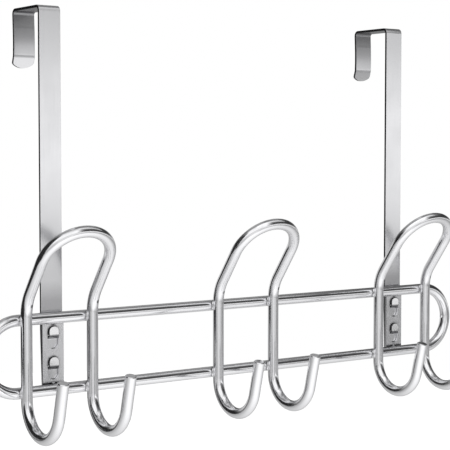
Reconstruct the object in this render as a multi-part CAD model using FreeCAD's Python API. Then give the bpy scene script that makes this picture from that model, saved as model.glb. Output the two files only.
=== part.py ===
import FreeCAD, Part
import math
import os
from FreeCAD import Vector

# Over door hook: three bent double hooks welded to a looped wire frame, which hangs by two
# lance-locked plates from two sheet straps that fold over the top of the door.
# Millimetres. X along the door, +Y through the door, +Z up. The origin is on the door's top
# edge, midway between the straps, in the plane of the door's front face.

# Door
door_gap = 36.0
door_top = 0.0
door_front = 0.0

# Wire frame
wire_diameter = 8.0
rail_spacing = 50.0
rail_past_leg = 4.0
top_rail_drop = 213.3
hook_pitch = 159.5
butt_bead_radius = 1.3

# Hooks
leg_spacing = 51.5
leg_above_rail = 11.7
leg_below_rail = 4.3
lean_angle = 36.8
lean_run = 36.7
lean_bend_radius = 28.0
cup_radius = 22.8
cup_angle = 166.0
tip_run = 25.3
tip_edge_radius = 0.9
hook_weld_sink = 2.0
hook_bead_radius = 4.6
hook_bead_half_thickness = 2.0

# Straps
strap_width = 16.6
strap_thickness = 2.0
strap_edge_radius = 0.3
strap_end_width = 14.1
strap_end_radius = 1.5
strap_below_rail = 2.0
fold_inside_radius = 2.0
flap_length = 39.5
flap_lean_angle = 2.5
flap_bow_radius = 240.0
flap_bow_out_angle = 2.0
flap_flare_length = 8.0
flap_flare_angle = 18.0
flap_flare_radius = 6.0
flap_corner_radius = 3.0
flap_tip_radius = 12.5

# Plates welded across the back of the rails
plate_width = 16.5
plate_thickness = 1.6
plate_past_rail = 3.0
plate_corner_radius = 1.0
plate_weld_sink = 0.3
plate_bead_radius = 1.5
plate_bead_below_crest = 0.6
plate_to_strap = 0.3

# Lanced tongues of the straps, and the windows of the plates that drop over them
lock_pitch = 21.4
tongue_width = 7.1
tongue_thickness = 1.45
tongue_bend_radius = 0.8
tongue_bend_angle = 60.0
pad_height = 5.4
pad_roundness = 0.9
pad_to_plate = 0.15
window_side_gap = 0.85
window_height = 10.0
window_roundness = 0.98
window_corner_radius = 1.2
window_seat_gap = 0.2

# Places that follow from the sizes above
wire_radius = wire_diameter / 2
rail_half = hook_pitch + leg_spacing / 2 + rail_past_leg
strap_front = door_front - strap_thickness
plate_back = strap_front - plate_to_strap
plate_front = plate_back - plate_thickness
rail_y = plate_front - wire_radius + plate_weld_sink
leg_y = rail_y - wire_diameter + hook_weld_sink
top_rail_z = door_top - top_rail_drop
bottom_rail_z = top_rail_z - rail_spacing
lock_middle_z = (top_rail_z + bottom_rail_z) / 2
pad_back = plate_front - pad_to_plate
pad_front = pad_back - tongue_thickness
neck_radius = tongue_bend_radius + tongue_thickness / 2
neck_turn = math.radians(tongue_bend_angle)
neck_step = strap_front - pad_front
neck_slope_run = (neck_step - 2 * neck_radius * (1 - math.cos(neck_turn))) / math.sin(neck_turn)
neck_rise = 2 * neck_radius * math.sin(neck_turn) + neck_slope_run * math.cos(neck_turn)
tongue_height = neck_rise + pad_height
crook_below_pad = math.sqrt(tongue_bend_radius ** 2 - (tongue_bend_radius - pad_to_plate) ** 2)
window_top_above_foot = neck_rise - crook_below_pad + window_seat_gap
hook_centres = {"left": -hook_pitch, "centre": 0.0, "right": hook_pitch}
strap_centres = {"left": -hook_pitch, "right": hook_pitch}

along_x = Vector(1, 0, 0)
along_y = Vector(0, 1, 0)
along_z = Vector(0, 0, 1)


# A path as a bending machine makes it: (length,) is a straight run and (radius, angle, axis)
# is a tangent arc that turns the wire about the axis.
def formed_path(start, heading, moves):
    point = start
    edges = []
    for move in moves:
        if len(move) == 1:
            end = point + heading * move[0]
            edges.append(Part.LineSegment(point, end).toShape())
        else:
            radius, angle, axis = move
            centre = point + axis.cross(heading) * radius
            arm = point - centre
            middle = centre + FreeCAD.Rotation(axis, angle / 2).multVec(arm)
            end = centre + FreeCAD.Rotation(axis, angle).multVec(arm)
            edges.append(Part.Arc(point, middle, end).toShape())
            heading = FreeCAD.Rotation(axis, angle).multVec(heading)
        point = end
    return Part.Wire(edges)


def swept(path, section):
    return path.makePipeShell([section], True, False)


def round_wire(path, start, heading):
    return swept(path, Part.Wire(Part.makeCircle(wire_radius, start, heading)))


# Rounded rim at the cut end of a wire whose centre line stops at the tip
def blunted(wire, tip):
    rims = [
        edge
        for edge in wire.Edges
        if isinstance(edge.Curve, Part.Circle) and (edge.Curve.Center - tip).Length < 1e-4
    ]
    return wire.makeFillet(tip_edge_radius, rims)


# Metal squeezed out round a pressed weld: an oval turned about the y axis
def weld_bead(middle, radius, half_thickness):
    oval = Part.Ellipse(middle + along_x * radius, middle + along_y * half_thickness, middle)
    edge = Part.ArcOfEllipse(oval, -math.pi / 2, math.pi / 2).toShape()
    axis = Part.LineSegment(edge.lastVertex().Point, edge.firstVertex().Point).toShape()
    return Part.Face(Part.Wire([edge, axis])).revolve(middle, along_y, 360)


def mirrored_in_x(shape, x):
    return shape.mirror(Vector(x, 0, 0), along_x)


# A closed outline of straight sides in the XZ plane at the given y, with its corners rounded.
# Each corner is (x, z, radius).
def rounded_outline(corners, y):
    count = len(corners)
    starts = []
    ends = []
    for i, (x, z, radius) in enumerate(corners):
        corner = Vector(x, y, z)
        before = Vector(corners[i - 1][0], y, corners[i - 1][1]) - corner
        after = Vector(corners[(i + 1) % count][0], y, corners[(i + 1) % count][1]) - corner
        before.normalize()
        after.normalize()
        half_turn = before.getAngle(after) / 2
        starts.append(corner + before * (radius / math.tan(half_turn)))
        ends.append(corner + after * (radius / math.tan(half_turn)))
    edges = []
    for i, (x, z, radius) in enumerate(corners):
        if radius > 0:
            corner = Vector(x, y, z)
            inward = (starts[i] + ends[i]) * 0.5 - corner
            reach = math.sqrt(radius ** 2 + (starts[i] - corner).Length ** 2) - radius
            inward.normalize()
            edges.append(Part.Arc(starts[i], corner + inward * reach, ends[i]).toShape())
        following = starts[(i + 1) % count]
        if (following - ends[i]).Length > 1e-6:
            edges.append(Part.LineSegment(ends[i], following).toShape())
    return Part.Face(Part.Wire(edges))


# A slab between two y planes whose front view is the outline
def slab(outline, y_low, y_high):
    face = outline.copy()
    face.translate(Vector(0, y_low, 0))
    return face.extrude(along_y * (y_high - y_low))


# Frame: wire bent to a long loop, with its rails level and its ends half round. It is closed
# by butt welds at the middle of its ends, which leave a bead on the inside.
def frame_loop():
    start = Vector(0, rail_y, top_rail_z)
    moves = [
        (rail_half,),
        (rail_spacing / 2, 180, along_y),
        (rail_half,),
    ]
    half = round_wire(formed_path(start, along_x, moves), start, along_x)
    inside = Vector(rail_half + rail_spacing / 2 - wire_radius, rail_y, lock_middle_z)
    half = half.fuse(Part.makeSphere(butt_bead_radius, inside))
    return half.fuse(mirrored_in_x(half, 0)).removeSplitter()


# Double hook: one wire from cup tip to cup tip, by way of the round loop that leans out above
# the top rail. It is pressed into the rails where it is welded to them, with a bead round
# each weld.
def double_hook(x, frame):
    leg_top = top_rail_z + leg_above_rail
    bend_setback = lean_bend_radius * math.tan(math.radians(lean_angle) / 2)
    lean = FreeCAD.Rotation(along_x, lean_angle)
    crown = Vector(x, leg_y, leg_top) + lean.multVec(along_z) * (lean_run + leg_spacing / 2)
    moves = [
        (leg_spacing / 2, 90, lean.multVec(along_y)),
        (lean_run - bend_setback,),
        (lean_bend_radius, lean_angle, -along_x),
        (leg_above_rail + rail_spacing + leg_below_rail - bend_setback,),
        (cup_radius, cup_angle, -along_x),
        (tip_run,),
    ]
    path = formed_path(crown, along_x, moves)
    half = blunted(round_wire(path, crown, along_x), path.OrderedVertexes[-1].Point)
    for rail_z in (top_rail_z, bottom_rail_z):
        joint = Vector(x + leg_spacing / 2, (leg_y + rail_y) / 2, rail_z)
        half = half.fuse(weld_bead(joint, hook_bead_radius, hook_bead_half_thickness))
    return half.fuse(mirrored_in_x(half, x)).removeSplitter().cut(frame)


# Flat bar bent along a path that starts upwards; the start is the middle of its lower end
def bent_bar(start, moves, width, thickness, edge_radius):
    half = width / 2
    back = thickness / 2
    section = rounded_outline(
        [
            (start.x - half, -back, edge_radius),
            (start.x + half, -back, edge_radius),
            (start.x + half, back, edge_radius),
            (start.x - half, back, edge_radius),
        ],
        0,
    ).OuterWire
    section.rotate(Vector(0, 0, 0), along_x, -90)
    section.translate(Vector(0, start.y, start.z))
    return swept(formed_path(start, along_z, moves), section)


# Strap: a strip folded over the door, from its narrowed lower end to its rear flap. The flap
# leans in to the door, bows out again over most of its length and ends in a short flare.
def folded_strip(x):
    middle_radius = fold_inside_radius + strap_thickness / 2
    low_end = bottom_rail_z - strap_below_rail
    start = Vector(x, strap_front + strap_thickness / 2, low_end)
    front_run = door_top - fold_inside_radius - low_end
    lean = math.radians(flap_lean_angle)
    bow_out = math.radians(flap_bow_out_angle)
    flare = math.radians(flap_flare_angle)
    fold_drop = fold_inside_radius + middle_radius * math.sin(lean)
    bow_drop = flap_bow_radius * (math.sin(lean) + math.sin(bow_out))
    flare_drop = flap_flare_radius * (math.sin(flare) - math.sin(bow_out))
    end_drop = flap_flare_length * math.cos(flare)
    flap_run = (flap_length - fold_drop - bow_drop - flare_drop - end_drop) / math.cos(lean)
    moves = [
        (front_run,),
        (middle_radius, 90, -along_x),
        (door_gap - 2 * fold_inside_radius,),
        (middle_radius, 90 + flap_lean_angle, -along_x),
        (flap_run,),
        (flap_bow_radius, flap_lean_angle + flap_bow_out_angle, along_x),
        (flap_flare_radius, flap_flare_angle - flap_bow_out_angle, along_x),
        (flap_flare_length,),
    ]
    return bent_bar(start, moves, strap_width, strap_thickness, strap_edge_radius)


# What the shears take off the strap's front leg below the top rail, so that it narrows
def low_end_waste(x):
    low_end = bottom_rail_z - strap_below_rail
    shoulder = top_rail_z - wire_radius
    wide = strap_width / 2
    narrow = strap_end_width / 2
    kept = rounded_outline(
        [
            (x - narrow, low_end, strap_end_radius),
            (x + narrow, low_end, strap_end_radius),
            (x + wide, shoulder, 0),
            (x - wide, shoulder, 0),
        ],
        0,
    )
    all_round = rounded_outline(
        [
            (x - strap_width, low_end - strap_width, 0),
            (x + strap_width, low_end - strap_width, 0),
            (x + strap_width, shoulder, 0),
            (x - strap_width, shoulder, 0),
        ],
        0,
    )
    depth = strap_thickness * 2
    return slab(all_round.cut(kept), door_front - depth, door_front + depth)


# What rounds off the free end of the rear flap: a bowed edge that runs into round corners
def flap_end_waste(x):
    low_end = door_top - flap_length
    half = strap_width / 2
    reach = flap_tip_radius - flap_corner_radius
    side = half - flap_corner_radius
    corner_z = low_end + flap_tip_radius - math.sqrt(reach ** 2 - side ** 2)
    corner_turn = math.degrees(math.acos(side / reach))
    edges = []
    bow_ends = []
    feet = []
    for hand in (-1, 1):
        centre = Vector(x + hand * side, 0, corner_z)
        arm = along_x * (hand * flap_corner_radius)
        first, middle, last = [
            centre + FreeCAD.Rotation(along_y, hand * angle).multVec(arm)
            for angle in (0, corner_turn / 2, corner_turn)
        ]
        foot = first - along_z * strap_width
        edges.append(Part.Arc(first, middle, last).toShape())
        edges.append(Part.LineSegment(first, foot).toShape())
        bow_ends.append(last)
        feet.append(foot)
    edges.append(Part.Arc(bow_ends[0], Vector(x, 0, low_end), bow_ends[1]).toShape())
    edges.append(Part.LineSegment(feet[0], feet[1]).toShape())
    waste = Part.Face(Part.Wire(Part.sortEdges(edges)[0]))
    return slab(waste, door_front + door_gap / 2, door_front + door_gap * 2)


# Height at which the foot of each tongue leaves the strap's front face
def tongue_foot_heights():
    feature = tongue_height - window_top_above_foot + window_height
    highest = lock_middle_z + (lock_pitch + feature) / 2 - tongue_height
    return [highest, highest - lock_pitch]


# Tongue: lanced from the strap on three sides, bent forward through the plate's window and
# bent up again in front of the plate, with a round free end
def tongue(x, foot):
    start = Vector(x, strap_front + tongue_thickness / 2, foot)
    moves = [
        (neck_radius, tongue_bend_angle, along_x),
        (neck_slope_run,),
        (neck_radius, tongue_bend_angle, -along_x),
        (pad_height,),
    ]
    bar = bent_bar(start, moves, tongue_width, tongue_thickness, 0)
    return bar.common(slab(tongue_outline(x, foot, foot + tongue_height), pad_front * 2, door_front))


def tongue_outline(x, foot, top):
    half = tongue_width / 2
    crown = half * pad_roundness
    return rounded_outline(
        [(x - half, foot, 0), (x + half, foot, 0), (x + half, top, crown), (x - half, top, crown)],
        0,
    )


# The hole that the tongue leaves in the strap, as long as the tongue was when it lay flat
def tongue_hole(x, foot):
    flat_length = 2 * neck_radius * neck_turn + neck_slope_run + pad_height
    outline = tongue_outline(x, foot, foot + flat_length)
    return slab(outline, strap_front * 2, door_front + strap_thickness)


def door_strap(x):
    strap = folded_strip(x).cut(low_end_waste(x)).cut(flap_end_waste(x))
    for foot in tongue_foot_heights():
        strap = strap.cut(tongue_hole(x, foot)).fuse(tongue(x, foot))
    return strap.removeSplitter()


# Window: square at its top, where the plate sits in the crook of the tongue, and round below
def window_outline(x, foot):
    half = tongue_width / 2 + window_side_gap
    top = foot + window_top_above_foot
    low = top - window_height
    foot_radius = half * window_roundness
    return rounded_outline(
        [
            (x - half, low, foot_radius),
            (x + half, low, foot_radius),
            (x + half, top, window_corner_radius),
            (x - half, top, window_corner_radius),
        ],
        0,
    )


# Plate: lies behind both rails, slightly sunk on to them by its welds, each of which shows as
# a bead in the angle between rail and plate
def lock_plate(x, frame):
    half = plate_width / 2
    top = top_rail_z + plate_past_rail
    low = bottom_rail_z - plate_past_rail
    outline = rounded_outline(
        [
            (x - half, low, plate_corner_radius),
            (x + half, low, plate_corner_radius),
            (x + half, top, plate_corner_radius),
            (x - half, top, plate_corner_radius),
        ],
        0,
    )
    plate = slab(outline, plate_front, plate_back)
    for foot in tongue_foot_heights():
        window = slab(window_outline(x, foot), plate_front * 2, plate_back + plate_thickness)
        plate = plate.cut(window)
    bead_offset = wire_radius - plate_bead_below_crest
    for bead_z in (top_rail_z - bead_offset, bottom_rail_z + bead_offset):
        plate = plate.fuse(Part.makeSphere(plate_bead_radius, Vector(x, plate_front, bead_z)))
    return plate.cut(frame)


def build():
    frame = frame_loop()
    nodes = {"frame_loop": frame}
    for side, x in hook_centres.items():
        nodes["hook_" + side] = double_hook(x, frame)
    for side, x in strap_centres.items():
        nodes["plate_" + side] = lock_plate(x, frame)
        nodes["strap_" + side] = door_strap(x)
    return nodes


os.makedirs("parts", exist_ok=True)
for name, shape in build().items():
    shape.exportStep("parts/" + name + ".step")
    print(name, len(shape.Solids), shape.isValid(), round(shape.Volume, 1))
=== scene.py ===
import bpy
import math
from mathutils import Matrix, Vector


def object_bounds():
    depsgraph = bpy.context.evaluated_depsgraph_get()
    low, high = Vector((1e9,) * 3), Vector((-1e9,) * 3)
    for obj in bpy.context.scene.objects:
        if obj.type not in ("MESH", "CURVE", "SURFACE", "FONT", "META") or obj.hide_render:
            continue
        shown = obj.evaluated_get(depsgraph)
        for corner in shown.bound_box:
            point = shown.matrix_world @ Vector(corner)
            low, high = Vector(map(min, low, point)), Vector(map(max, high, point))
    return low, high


# Over door hook of polished stainless steel: a looped wire frame with three double hooks,
# hung by two locking plates from two folded straps. Metres, in the frame's own axes.

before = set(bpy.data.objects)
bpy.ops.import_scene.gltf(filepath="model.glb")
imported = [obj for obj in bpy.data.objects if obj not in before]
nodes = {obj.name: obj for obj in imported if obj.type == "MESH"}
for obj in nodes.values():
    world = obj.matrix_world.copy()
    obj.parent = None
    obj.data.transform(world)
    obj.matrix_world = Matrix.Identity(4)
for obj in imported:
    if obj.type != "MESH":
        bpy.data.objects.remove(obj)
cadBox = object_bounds()
print("frame loaded with", len(nodes), "nodes")


# sRGB hex to linear colour
def colour(code):
    values = [int(code[i:i + 2], 16) / 255 for i in (1, 3, 5)]
    linear = [v / 12.92 if v <= 0.04045 else ((v + 0.055) / 1.055) ** 2.4 for v in values]
    return (*linear, 1)


# adds one node: settings are its own options or values of its inputs, links feed its inputs
def addNode(tree, kind, settings={}, links={}):
    node = tree.nodes.new(kind)
    for name, value in settings.items():
        if isinstance(name, int) or name in node.inputs:
            node.inputs[name].default_value = value
        else:
            setattr(node, name, value)
    for name, source in links.items():
        tree.links.new(source, node.inputs[name])
    return node


def startMaterial(name):
    material = bpy.data.materials.new(name)
    material.use_nodes = True
    material.node_tree.nodes.clear()
    return material, material.node_tree


# a ramp through (position, brightness) stops, laid over a value's span from low to high
def gradient(tree, value, span, stops):
    low, high = span
    share = addNode(
        tree, "ShaderNodeMapRange", {"From Min": low, "From Max": high}, {"Value": value}
    )
    ramp = addNode(tree, "ShaderNodeValToRGB", {}, {"Fac": share.outputs["Result"]})
    elements = ramp.color_ramp.elements
    while len(elements) < len(stops):
        elements.new(0.5)   # anywhere, since the next loop places it
    for element, (position, level) in zip(elements, stops):
        element.position = (position - low) / (high - low)
        element.color = (level, level, level, 1)
    return ramp.outputs["Color"]


# how the painted shade in corners and seams is drawn on every piece
shadeSearch = {
    "samples": 8,           # feelers sent out from each spot to find a corner
    "speckDetail": 1,
}


# Steel's colour: its own, with painted shade in corners, in seams and round welds, found by how
# near other surfaces are and broken into specks. Values that only one finish has add the marks
# that only its pieces show.
def steelWithPaintedShade(tree, values):
    place = addNode(tree, "ShaderNodeTexCoord").outputs["Object"]
    spot = addNode(tree, "ShaderNodeSeparateXYZ", {}, {"Vector": place})
    shape = addNode(tree, "ShaderNodeNewGeometry")
    facing = addNode(tree, "ShaderNodeSeparateXYZ", {}, {"Vector": shape.outputs["True Normal"]})
    openness = addNode(
        tree, "ShaderNodeAmbientOcclusion",
        {"samples": shadeSearch["samples"], "Distance": values["shadeReach"]},
    ).outputs["AO"]
    full, ends = values["shadeFull"], values["shadeEnds"]
    if "speckSize" in values:
        specks = addNode(
            tree, "ShaderNodeTexNoise",
            {"Scale": 1 / values["speckSize"], "Detail": shadeSearch["speckDetail"]},
            {"Vector": place},
        )
        openness = addNode(
            tree, "ShaderNodeMath", {"operation": "MULTIPLY_ADD", 1: values["speckContrast"]},
            {0: specks.outputs["Fac"], 2: openness},
        ).outputs["Value"]
        full += values["speckContrast"] / 2
        ends += values["speckContrast"] / 2
    unshaded = addNode(
        tree, "ShaderNodeMapRange", {"From Min": full, "From Max": ends}, {"Value": openness}
    ).outputs["Result"]
    if "wallsBelow" in values:
        onWalls = addNode(
            tree, "ShaderNodeMath", {"operation": "COMPARE", 1: 0, 2: values["wallsBelow"]},
            {0: facing.outputs["Y"]},
        )
        unshaded = addNode(
            tree, "ShaderNodeMath", {"operation": "MAXIMUM"},
            {0: unshaded, 1: onWalls.outputs["Value"]},
        ).outputs["Value"]
    if "nickAt" in values:
        unshaded = addNode(
            tree, "ShaderNodeMath", {"operation": "SUBTRACT", "use_clamp": True},
            {0: unshaded, 1: dieNick(tree, values, spot, facing)},
        ).outputs["Value"]
    colours = {"Color1": colour(values["shadeColour"]), "Color2": colour(values["steel"])}
    links = {"Fac": unshaded}
    if "lowShadeColour" in values:
        links["Color2"] = stripColour(tree, values, spot, facing)
    return addNode(tree, "ShaderNodeMixRGB", colours, links).outputs["Color"]


# the steel itself under its gloss and relief: all metal, so its IOR stays at the default
def finishSteel(tree, values, roughness, relief):
    shader = addNode(
        tree, "ShaderNodeBsdfPrincipled", {"Metallic": 1},
        {"Base Color": steelWithPaintedShade(tree, values), "Roughness": roughness.outputs["Result"],
         "Normal": relief.outputs["Normal"]},
    )
    addNode(tree, "ShaderNodeOutputMaterial", {}, {"Surface": shader.outputs["BSDF"]})


# Drawn stainless wire, bent, welded and barrel polished: close to a mirror, with a faint haze
# where the polish is thinner and a shallow waviness left by the drawing and bending
wireFinish = {
    "steel": "#EDEDEF",
    "brightRoughness": 0.12,
    "hazyRoughness": 0.18,
    "hazeSize": 0.014,      # patches of haze, about 14 mm
    "hazeDetail": 3,
    "hazeRaggedness": 0.55,
    "hazeStarts": 0.35,     # where the haze starts and is full, as a share of its pattern
    "hazeFull": 0.7,
    "waveSize": 0.006,      # waviness, about 6 mm from crest to crest
    "waveDetail": 1,
    "waveHeight": 0.000004,
    "pitSize": 0.0007,      # polishing pits, 0.7 mm: real ones are finer and wouldn't show
    "pitDetail": 2,
    "pitHeight": 0.000001,
    "shadeColour": "#262628",   # painted shade in the corners at the welds
    "shadeReach": 0.003,  # how near another surface has to be
    "shadeFull": 0.3,     # openness where it is full, from 0 in a corner to 1 out on a face
    "shadeEnds": 0.75,    # and where it ends
    "speckSize": 0.0014,
    "speckContrast": 0.9,
    "nickAt": -0.203,       # height, just under the bend where each leg starts to lean
    "nickHeight": 0.002,
    "nickSide": 0.4,        # X of the normal in its middle, on the leg's right side
    "nickSpread": 0.2,      # and how far that runs either way
    "nickFront": -0.25,     # Y of the normal that it stays in front of
}


# the nick that the bending die leaves on the right side of each leg: 1 in it and 0 elsewhere
def dieNick(tree, values, spot, facing):
    level = addNode(
        tree, "ShaderNodeMath",
        {"operation": "COMPARE", 1: values["nickAt"], 2: values["nickHeight"] / 2},
        {0: spot.outputs["Z"]},
    )
    rightSide = addNode(
        tree, "ShaderNodeMath",
        {"operation": "COMPARE", 1: values["nickSide"], 2: values["nickSpread"]},
        {0: facing.outputs["X"]},
    )
    inFront = addNode(
        tree, "ShaderNodeMath", {"operation": "LESS_THAN", 1: values["nickFront"]},
        {0: facing.outputs["Y"]},
    )
    nick = level.outputs["Value"]
    for limit in (rightSide, inFront):
        nick = addNode(
            tree, "ShaderNodeMath", {"operation": "MULTIPLY"},
            {0: nick, 1: limit.outputs["Value"]},
        ).outputs["Value"]
    return nick


def polishedWire(name, values):
    material, tree = startMaterial(name)
    place = addNode(tree, "ShaderNodeTexCoord").outputs["Object"]
    haze = addNode(
        tree, "ShaderNodeTexNoise",
        {"Scale": 1 / values["hazeSize"], "Detail": values["hazeDetail"],
         "Roughness": values["hazeRaggedness"]},
        {"Vector": place},
    )
    roughness = addNode(
        tree, "ShaderNodeMapRange",
        {"From Min": values["hazeStarts"], "From Max": values["hazeFull"],
         "To Min": values["brightRoughness"], "To Max": values["hazyRoughness"]},
        {"Value": haze.outputs["Fac"]},
    )
    waves = addNode(
        tree, "ShaderNodeTexNoise",
        {"Scale": 1 / values["waveSize"], "Detail": values["waveDetail"]}, {"Vector": place},
    )
    waveBump = addNode(
        tree, "ShaderNodeBump", {"Strength": 1, "Distance": values["waveHeight"]},
        {"Height": waves.outputs["Fac"]},
    )
    pits = addNode(
        tree, "ShaderNodeTexNoise",
        {"Scale": 1 / values["pitSize"], "Detail": values["pitDetail"]}, {"Vector": place},
    )
    pitBump = addNode(
        tree, "ShaderNodeBump", {"Strength": 1, "Distance": values["pitHeight"]},
        {"Height": pits.outputs["Fac"], "Normal": waveBump.outputs["Normal"]},
    )
    finishSteel(tree, values, roughness, pitBump)
    return material


# Cold rolled stainless strip with a polished skin: softer than the wire, so that it shows broad
# gradients, with a faint grain along its length from the rolls
stripFinish = {
    "steel": "#E6E6E8",
    "brightRoughness": 0.17,
    "dullRoughness": 0.22,
    "grainWidth": 0.0006,       # roll grain, 0.6 mm: drawn coarser than the real one, to show
    "grainLength": 0.025,
    "grainHeight": 0.000003,
    "cloudSize": 0.03,          # broad clouds left by the polishing
    "shadeColour": "#1E1E20",       # painted shade in the seams round the tongues and behind the plates
    "shadeReach": 0.0015,
    "shadeFull": 0.15,
    "shadeEnds": 0.5,
    "lowShadeColour": "#7A7A7C",          # painted shade where the strip looks down, high on the flap's inner face and behind the hook and the upper rail
    "lowShadeBelow": -0.8,          # Z of the normal of a face that looks down and takes the painted shade in full
    "lowShadeFreeAbove": -0.4,         # and of one that takes none
    "tongueStarts": -0.0021,    # Y in front of which the steel is a tongue or its pad
    "tongueShading": 2.2,       # how much sooner those take the painted shade as they look down
    "flapStarts": 0.03,         # Y behind which it is a rear flap
    "frontBelow": -0.3,         # Y of the normal of a face that looks out to the front
    # painted shade up on the flap's inner face, as (height, share of painted shade), with the
    # heights that the stops are laid between
    "foldSpan": (-0.05, 0),
    "foldShading": [
        (-0.05, 0), (-0.033, 0), (-0.029, 0.36), (-0.02, 0.5), (-0.009, 0.5), (-0.004, 0.7),
    ],
    # and the same on the front of each strap, behind the hook and the upper rail
    "footSpan": (-0.25, -0.15),
    "footShading": [(-0.25, 0), (-0.222, 0), (-0.215, 0.4), (-0.202, 0.4), (-0.188, 0)],
    "padsPaintedSheen": "#F2F2F3",        # painted sheen on the pads, which stand proud
    "padsStart": -0.0041,       # Y in front of which it is a pad
    "padsLean": 0.05,           # the pads spring back a little and face slightly up
    "sidesShade": "#78787A",   # painted shade on the strip's sides
    "sidesShadeStarts": 0.35,         # X of the normal, either way, of a side that takes the painted shade
}

# Punched plate of the same stainless stock, a little duller after welding and tumbling, with
# painted shade in its seams at the rails, hooks and tongues
plateFinish = {
    "steel": "#E0E0E2",
    "brightRoughness": 0.22,
    "dullRoughness": 0.32,
    "grainWidth": 0.0009,       # also coarser than the real one, and broken short by the tumbling
    "grainLength": 0.006,
    "grainHeight": 0.000006,
    "cloudSize": 0.008,
    # painted shade in the seams
    "shadeColour": "#1E1E20",
    "shadeReach": 0.0024,
    "shadeFull": 0.66,
    "shadeEnds": 0.92,
    "speckSize": 0.001,
    "speckContrast": 0.2,
    "wallsBelow": 0.5,          # Y of the normal, either way, of a punched wall, which is left bright, free of the painted shade
}

# the pattern of grain and clouds that strip and plate share
stockPattern = {
    "grainDetail": 3,
    "grainRaggedness": 0.6,
    "cloudDetail": 2,
    "cloudShare": 0.6,
    "dullStarts": 0.35,         # where the dull places start and are full, as a share of it
    "dullFull": 0.65,
}


# Share of the strip's surface left free of painted shade, from 0 to 1. Faces that look down take
# it, the tongues sooner, and so do the top of the flap's inner face and the strap's front behind
# the hook and the upper rail.
def lowShadeFreeShare(tree, values, spot, facing):
    onTongue = addNode(
        tree, "ShaderNodeMath", {"operation": "LESS_THAN", 1: values["tongueStarts"]},
        {0: spot.outputs["Y"]},
    )
    sharper = addNode(
        tree, "ShaderNodeMath", {"operation": "MULTIPLY_ADD", 1: values["tongueShading"], 2: 1},
        {0: onTongue.outputs["Value"]},
    )
    tilt = addNode(
        tree, "ShaderNodeMath", {"operation": "MULTIPLY"},
        {0: facing.outputs["Z"], 1: sharper.outputs["Value"]},
    )
    freeByTilt = addNode(
        tree, "ShaderNodeMapRange",
        {"From Min": values["lowShadeBelow"], "From Max": values["lowShadeFreeAbove"]},
        {"Value": tilt.outputs["Value"]},
    )
    onFlap = addNode(
        tree, "ShaderNodeMath", {"operation": "GREATER_THAN", 1: values["flapStarts"]},
        {0: spot.outputs["Y"]},
    )
    inFold = addNode(
        tree, "ShaderNodeMath", {"operation": "MULTIPLY"},
        {0: gradient(tree, spot.outputs["Z"], values["foldSpan"], values["foldShading"]),
         1: onFlap.outputs["Value"]},
    )
    shadeShare = addNode(
        tree, "ShaderNodeMath", {"operation": "ADD"},
        {0: inFold.outputs["Value"],
         1: gradient(tree, spot.outputs["Z"], values["footSpan"], values["footShading"])},
    )
    outFront = addNode(
        tree, "ShaderNodeMath", {"operation": "LESS_THAN", 1: values["frontBelow"]},
        {0: facing.outputs["Y"]},
    )
    shadeInFront = addNode(
        tree, "ShaderNodeMath", {"operation": "MULTIPLY"},
        {0: shadeShare.outputs["Value"], 1: outFront.outputs["Value"]},
    )
    return addNode(
        tree, "ShaderNodeMath", {"operation": "SUBTRACT", "use_clamp": True},
        {0: freeByTilt.outputs["Result"], 1: shadeInFront.outputs["Value"]},
    ).outputs["Value"]


# The strip's colour: its steel, with painted shade where it looks down, under the fold and behind
# the hooks, painted sheen on the pads, and painted shade on its sides
def stripColour(tree, values, spot, facing):
    onPads = addNode(
        tree, "ShaderNodeMath", {"operation": "LESS_THAN", 1: values["padsStart"]},
        {0: spot.outputs["Y"]},
    )
    polished = addNode(
        tree, "ShaderNodeMixRGB",
        {"Color1": colour(values["steel"]), "Color2": colour(values["padsPaintedSheen"])},
        {"Fac": onPads.outputs["Value"]},
    )
    skin = addNode(
        tree, "ShaderNodeMixRGB", {"Color1": colour(values["lowShadeColour"])},
        {"Fac": lowShadeFreeShare(tree, values, spot, facing), "Color2": polished.outputs["Color"]},
    )
    offShadedSides = addNode(
        tree, "ShaderNodeMath", {"operation": "COMPARE", 1: 0, 2: values["sidesShadeStarts"]},
        {0: facing.outputs["X"]},
    )
    return addNode(
        tree, "ShaderNodeMixRGB", {"Color1": colour(values["sidesShade"])},
        {"Fac": offShadedSides.outputs["Value"], "Color2": skin.outputs["Color"]},
    ).outputs["Color"]


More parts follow.
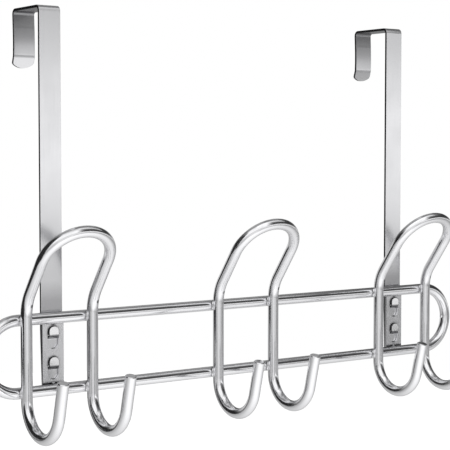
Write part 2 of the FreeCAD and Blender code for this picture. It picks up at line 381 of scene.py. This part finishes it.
def rolledStock(name, values, pattern):
    material, tree = startMaterial(name)
    place = addNode(tree, "ShaderNodeTexCoord").outputs["Object"]
    stretch = addNode(
        tree, "ShaderNodeMapping",
        {"Scale": (1 / values["grainWidth"], 1 / values["grainWidth"], 1 / values["grainLength"])},
        {"Vector": place},
    )
    grain = addNode(
        tree, "ShaderNodeTexNoise",
        {"Scale": 1, "Detail": pattern["grainDetail"], "Roughness": pattern["grainRaggedness"]},
        {"Vector": stretch.outputs["Vector"]},
    )
    clouds = addNode(
        tree, "ShaderNodeTexNoise",
        {"Scale": 1 / values["cloudSize"], "Detail": pattern["cloudDetail"]}, {"Vector": place},
    )
    mottle = addNode(
        tree, "ShaderNodeMix", {"data_type": "FLOAT", "Factor": pattern["cloudShare"]},
        {"A": grain.outputs["Fac"], "B": clouds.outputs["Fac"]},
    )
    roughness = addNode(
        tree, "ShaderNodeMapRange",
        {"From Min": pattern["dullStarts"], "From Max": pattern["dullFull"],
         "To Min": values["brightRoughness"], "To Max": values["dullRoughness"]},
        {"Value": mottle.outputs["Result"]},
    )
    relief = addNode(
        tree, "ShaderNodeBump", {"Strength": 1, "Distance": values["grainHeight"]},
        {"Height": grain.outputs["Fac"]},
    )
    if "padsLean" in values:
        spot = addNode(tree, "ShaderNodeSeparateXYZ", {}, {"Vector": place})
        onPads = addNode(
            tree, "ShaderNodeMath", {"operation": "LESS_THAN", 1: values["padsStart"]},
            {0: spot.outputs["Y"]},
        )
        height = addNode(
            tree, "ShaderNodeMath", {"operation": "MULTIPLY"},
            {0: spot.outputs["Z"], 1: onPads.outputs["Value"]},
        )
        relief = addNode(
            tree, "ShaderNodeBump",
            {"invert": True, "Strength": 1, "Distance": values["padsLean"]},
            {"Height": height.outputs["Value"], "Normal": relief.outputs["Normal"]},
        )
    finishSteel(tree, values, roughness, relief)
    return material


wireSteel = polishedWire("polished_stainless_wire", wireFinish)
finishes = {
    "frame": wireSteel,
    "hook": wireSteel,
    "strap": rolledStock("rolled_stainless_strip", stripFinish, stockPattern),
    "plate": rolledStock("tumbled_stainless_plate", plateFinish, stockPattern),
}
for name, node in nodes.items():
    for slot in node.material_slots:
        slot.material = finishes[name.split("_")[0]]
print("steel finishes on", len(nodes), "nodes")

# Camera at the photograph's place, left of the hooks and a little above them, looking slightly
# down; focalPixels is its focal length in pixels of a picture 450 wide
photoCamera = {
    "place": (-0.6205, -0.8510, -0.0975),
    "turn": 35.66,          # degrees to the right of straight in
    "tilt": 3.10,           # degrees down
    "focalPixels": 1386.6,
    "pictureWidth": 450,
    "sensorWidth": 36,
}


def addCamera(values):
    data = bpy.data.cameras.new("photo_camera")
    data.sensor_width = values["sensorWidth"]
    data.lens = values["focalPixels"] / values["pictureWidth"] * values["sensorWidth"]
    camera = bpy.data.objects.new("photo_camera", data)
    bpy.context.scene.collection.objects.link(camera)
    camera.location = values["place"]
    camera.rotation_euler = (math.radians(90 - values["tilt"]), 0, math.radians(-values["turn"]))
    bpy.context.scene.camera = camera


addCamera(photoCamera)
print("camera in place")

# Pale round floor well below the hooks, which hang clear of it. Its own glow lifts it to white
# for the camera, and in the steel it shows as a pool of light in front of the hooks.
floorPlan = {
    "radius": 3.0,
    "sides": 96,
    "drop": 0.45,           # below the lowest cup
    "paint": "#F2F2F2",
    "cameraGlow": 0.65,     # added for the camera alone
    "poolMiddle": (-0.1, -0.9, 0),
    # the floor as steel sees it, as (metres from the pool's middle, brightness)
    "pool": [(0, 1.3), (0.6, 1.1), (0.95, 0.85), (1.2, 0.68), (1.7, 0.52), (3, 0.4)],
}


def addFloor(values):
    bpy.ops.object.select_all(action="DESELECT")
    bpy.ops.mesh.primitive_circle_add(
        vertices=values["sides"], radius=values["radius"], fill_type="NGON"
    )
    floor = bpy.context.object
    floor.name = "pale_floor"
    floor.location.z = cadBox[0].z - values["drop"]
    material, tree = startMaterial("matt_white_floor")
    path = addNode(tree, "ShaderNodeLightPath")
    place = addNode(tree, "ShaderNodeTexCoord")
    outwards = addNode(
        tree, "ShaderNodeVectorMath", {"operation": "DISTANCE", 1: values["poolMiddle"]},
        {0: place.outputs["Object"]},
    )
    pool = gradient(tree, outwards.outputs["Value"], (0, values["radius"]), values["pool"])
    lift = addNode(
        tree, "ShaderNodeMath", {"operation": "MULTIPLY", 1: values["cameraGlow"]},
        {0: path.outputs["Is Camera Ray"]},
    )
    paint = addNode(tree, "ShaderNodeBsdfDiffuse", {"Color": colour(values["paint"])})
    glow = addNode(tree, "ShaderNodeEmission", {}, {"Strength": lift.outputs["Value"]})
    seen = addNode(
        tree, "ShaderNodeAddShader", {}, {0: paint.outputs["BSDF"], 1: glow.outputs["Emission"]}
    )
    inSteel = addNode(tree, "ShaderNodeEmission", {}, {"Color": pool})
    both = addNode(
        tree, "ShaderNodeMixShader", {},
        {0: path.outputs["Is Glossy Ray"], 1: seen.outputs["Shader"],
         2: inSteel.outputs["Emission"]},
    )
    addNode(tree, "ShaderNodeOutputMaterial", {}, {"Surface": both.outputs["Shader"]})
    floor.data.materials.append(material)


addFloor(floorPlan)
print("floor laid")

# Studio walls: white to the camera. In the steel they are bands of light and shade, each given
# as (degrees above the horizon, brightness): on the right in front a bright strip at eye level
# under a dark ceiling, on the left a broad soft light, and behind a light wall with a dark band
# above it.
studio = {
    "right": [
        (-12, 0.5), (-6, 0.5), (-3, 0.8), (-1, 1.3), (1, 1.3), (3, 1.0), (5.5, 0.62),
        (8, 0.24), (12, 0.07), (27, 0.05), (40, 0.15), (52, 0.3), (75, 0.45),
    ],
    "left": [(-9, 0.62), (0, 0.7), (8, 0.7), (20, 1.1), (50, 1.1), (70, 0.7)],
    "back": [(-9, 0.6), (0, 0.82), (8, 0.7), (16, 0.15), (35, 0.12), (55, 0.42), (80, 0.45)],
    # how much of it is left at each bearing, in degrees to the right of straight out in front
    "around": [
        (-175, 1.0), (-150, 0.5), (-125, 0.7), (-90, 1.0), (-10, 1.0), (3, 1.2), (18, 1.2),
        (30, 1.0), (45, 1.0), (62, 0.8), (85, 0.65), (115, 0.6), (150, 0.42), (175, 1.0),
    ],
    # the bearings between which the left wall turns into the right one, and a side wall, either
    # way, into the back one
    "leftEnds": -4,
    "rightStarts": 22,
    "sideEnds": 85,
    "backStarts": 140,
    "heights": (-90, 90),       # all round, in degrees
    "bearings": (-180, 180),
    "backdrop": "#FFFFFF",      # what the camera sees instead
}


def addWorld(values):
    world = bpy.data.worlds.new("studio")
    world.use_nodes = True
    bpy.context.scene.world = world
    tree = world.node_tree
    tree.nodes.clear()
    way = addNode(tree, "ShaderNodeTexCoord")
    parts = addNode(tree, "ShaderNodeSeparateXYZ", {}, {"Vector": way.outputs["Generated"]})
    rise = addNode(tree, "ShaderNodeMath", {"operation": "ARCSINE"}, {0: parts.outputs["Z"]})
    outFront = addNode(
        tree, "ShaderNodeMath", {"operation": "MULTIPLY", 1: -1}, {0: parts.outputs["Y"]}
    )
    turn = addNode(
        tree, "ShaderNodeMath", {"operation": "ARCTAN2"},
        {0: parts.outputs["X"], 1: outFront.outputs["Value"]},
    )
    height, bearing = [
        addNode(
            tree, "ShaderNodeMath", {"operation": "DEGREES"}, {0: angle.outputs["Value"]}
        ).outputs["Value"]
        for angle in (rise, turn)
    ]
    walls = {
        wall: gradient(tree, height, values["heights"], values[wall])
        for wall in ("left", "right", "back")
    }
    toRight = addNode(
        tree, "ShaderNodeMapRange",
        {"interpolation_type": "SMOOTHSTEP",
         "From Min": values["leftEnds"], "From Max": values["rightStarts"]},
        {"Value": bearing},
    )
    aside = addNode(tree, "ShaderNodeMath", {"operation": "ABSOLUTE"}, {0: bearing})
    toBack = addNode(
        tree, "ShaderNodeMapRange",
        {"interpolation_type": "SMOOTHSTEP",
         "From Min": values["sideEnds"], "From Max": values["backStarts"]},
        {"Value": aside.outputs["Value"]},
    )
    front = addNode(
        tree, "ShaderNodeMixRGB", {},
        {"Fac": toRight.outputs["Result"], "Color1": walls["left"], "Color2": walls["right"]},
    )
    room = addNode(
        tree, "ShaderNodeMixRGB", {},
        {"Fac": toBack.outputs["Result"], "Color1": front.outputs["Color"],
         "Color2": walls["back"]},
    )
    dimmed = addNode(
        tree, "ShaderNodeMixRGB", {"blend_type": "MULTIPLY", "Fac": 1},
        {"Color1": room.outputs["Color"],
         "Color2": gradient(tree, bearing, values["bearings"], values["around"])},
    )
    path = addNode(tree, "ShaderNodeLightPath")
    lit = addNode(tree, "ShaderNodeBackground", {}, {"Color": dimmed.outputs["Color"]})
    plain = addNode(tree, "ShaderNodeBackground", {"Color": colour(values["backdrop"])})
    shown = addNode(
        tree, "ShaderNodeMixShader", {},
        {0: path.outputs["Is Camera Ray"], 1: lit.outputs["Background"],
         2: plain.outputs["Background"]},
    )
    addNode(tree, "ShaderNodeOutputWorld", {}, {"Surface": shown.outputs["Shader"]})


addWorld(studio)
print("studio walls up")

# Softboxes: the middle of each, the point that it faces, its size and its brightness. The front
# one stands beside the camera and a little lower, the one at the folds only lightens the straps'
# front bends, and the back one lights the back.
softboxes = {
    "front_softbox": {
        "at": (-0.42, -0.9, -0.35), "facing": (-0.1, 0, -0.28), "size": (0.62, 0.5), "level": 0.22,
    },
    "fold_softbox": {
        "at": (0.085, -0.12, 0.11), "facing": (0.085, 0, 0.02), "size": (0.46, 0.17), "level": 0.5,
    },
    "back_softbox": {
        "at": (0.5, 1.2, 0.9), "facing": (0, 0, -0.2), "size": (1.6, 0.8), "level": 0.3,
    },
}


def addSoftbox(name, values):
    data = bpy.data.lights.new(name, "AREA")
    data.shape = "RECTANGLE"
    data.size, data.size_y = values["size"]
    data.energy = values["level"] * math.pi * data.size * data.size_y   # watts for that level
    lamp = bpy.data.objects.new(name, data)
    bpy.context.scene.collection.objects.link(lamp)
    lamp.location = values["at"]
    look = Vector(values["facing"]) - lamp.location
    lamp.rotation_euler = look.to_track_quat("-Z", "Y").to_euler()
    lamp.visible_camera = False


for name, values in softboxes.items():
    addSoftbox(name, values)
print(len(softboxes), "softboxes hung")

# Flags, upright cards that only the steel sees, each from one end of its foot to the other, with
# its bottom, its top and its glow. The left ones draw the dark line down the left side of each
# leg, strap and plate, less and less of it from hook to hook. The right one shades the foot of
# the right strap with its plate, and thinly the right sides of the legs.
flags = {
    "left_flag": {
        "foot": [(-0.36, -0.08), (-0.36, 0.8)], "bottom": -0.285, "top": 0.15, "glow": 0.02,
    },
    "plate_flag": {
        "foot": [(-0.36, 0.27), (-0.36, 0.5)], "bottom": -0.4, "top": -0.285, "glow": 0.02,
    },
    "right_flag": {
        "foot": [(0.34, -0.45), (1.2, -0.45)], "bottom": -0.33, "top": -0.262, "glow": 0.26,
    },
}


def addFlag(name, values):
    start, end = [Vector(point) for point in values["foot"]]
    middle = (start + end) / 2
    bpy.ops.object.select_all(action="DESELECT")
    bpy.ops.mesh.primitive_plane_add(
        size=1, location=(*middle, (values["bottom"] + values["top"]) / 2),
        rotation=(math.radians(90), 0, math.atan2(end.y - start.y, end.x - start.x)),
    )
    card = bpy.context.object
    card.name = name
    card.scale = ((end - start).length, values["top"] - values["bottom"], 1)
    material, tree = startMaterial(name + "_cloth")
    cloth = addNode(tree, "ShaderNodeEmission", {"Strength": values["glow"]})
    addNode(tree, "ShaderNodeOutputMaterial", {}, {"Surface": cloth.outputs["Emission"]})
    card.data.materials.append(material)
    card.visible_camera = False
    card.visible_shadow = False
    card.visible_diffuse = False


for name, values in flags.items():
    addFlag(name, values)
print(len(flags), "flags set")

bpy.context.scene.view_settings.view_transform = "Standard"
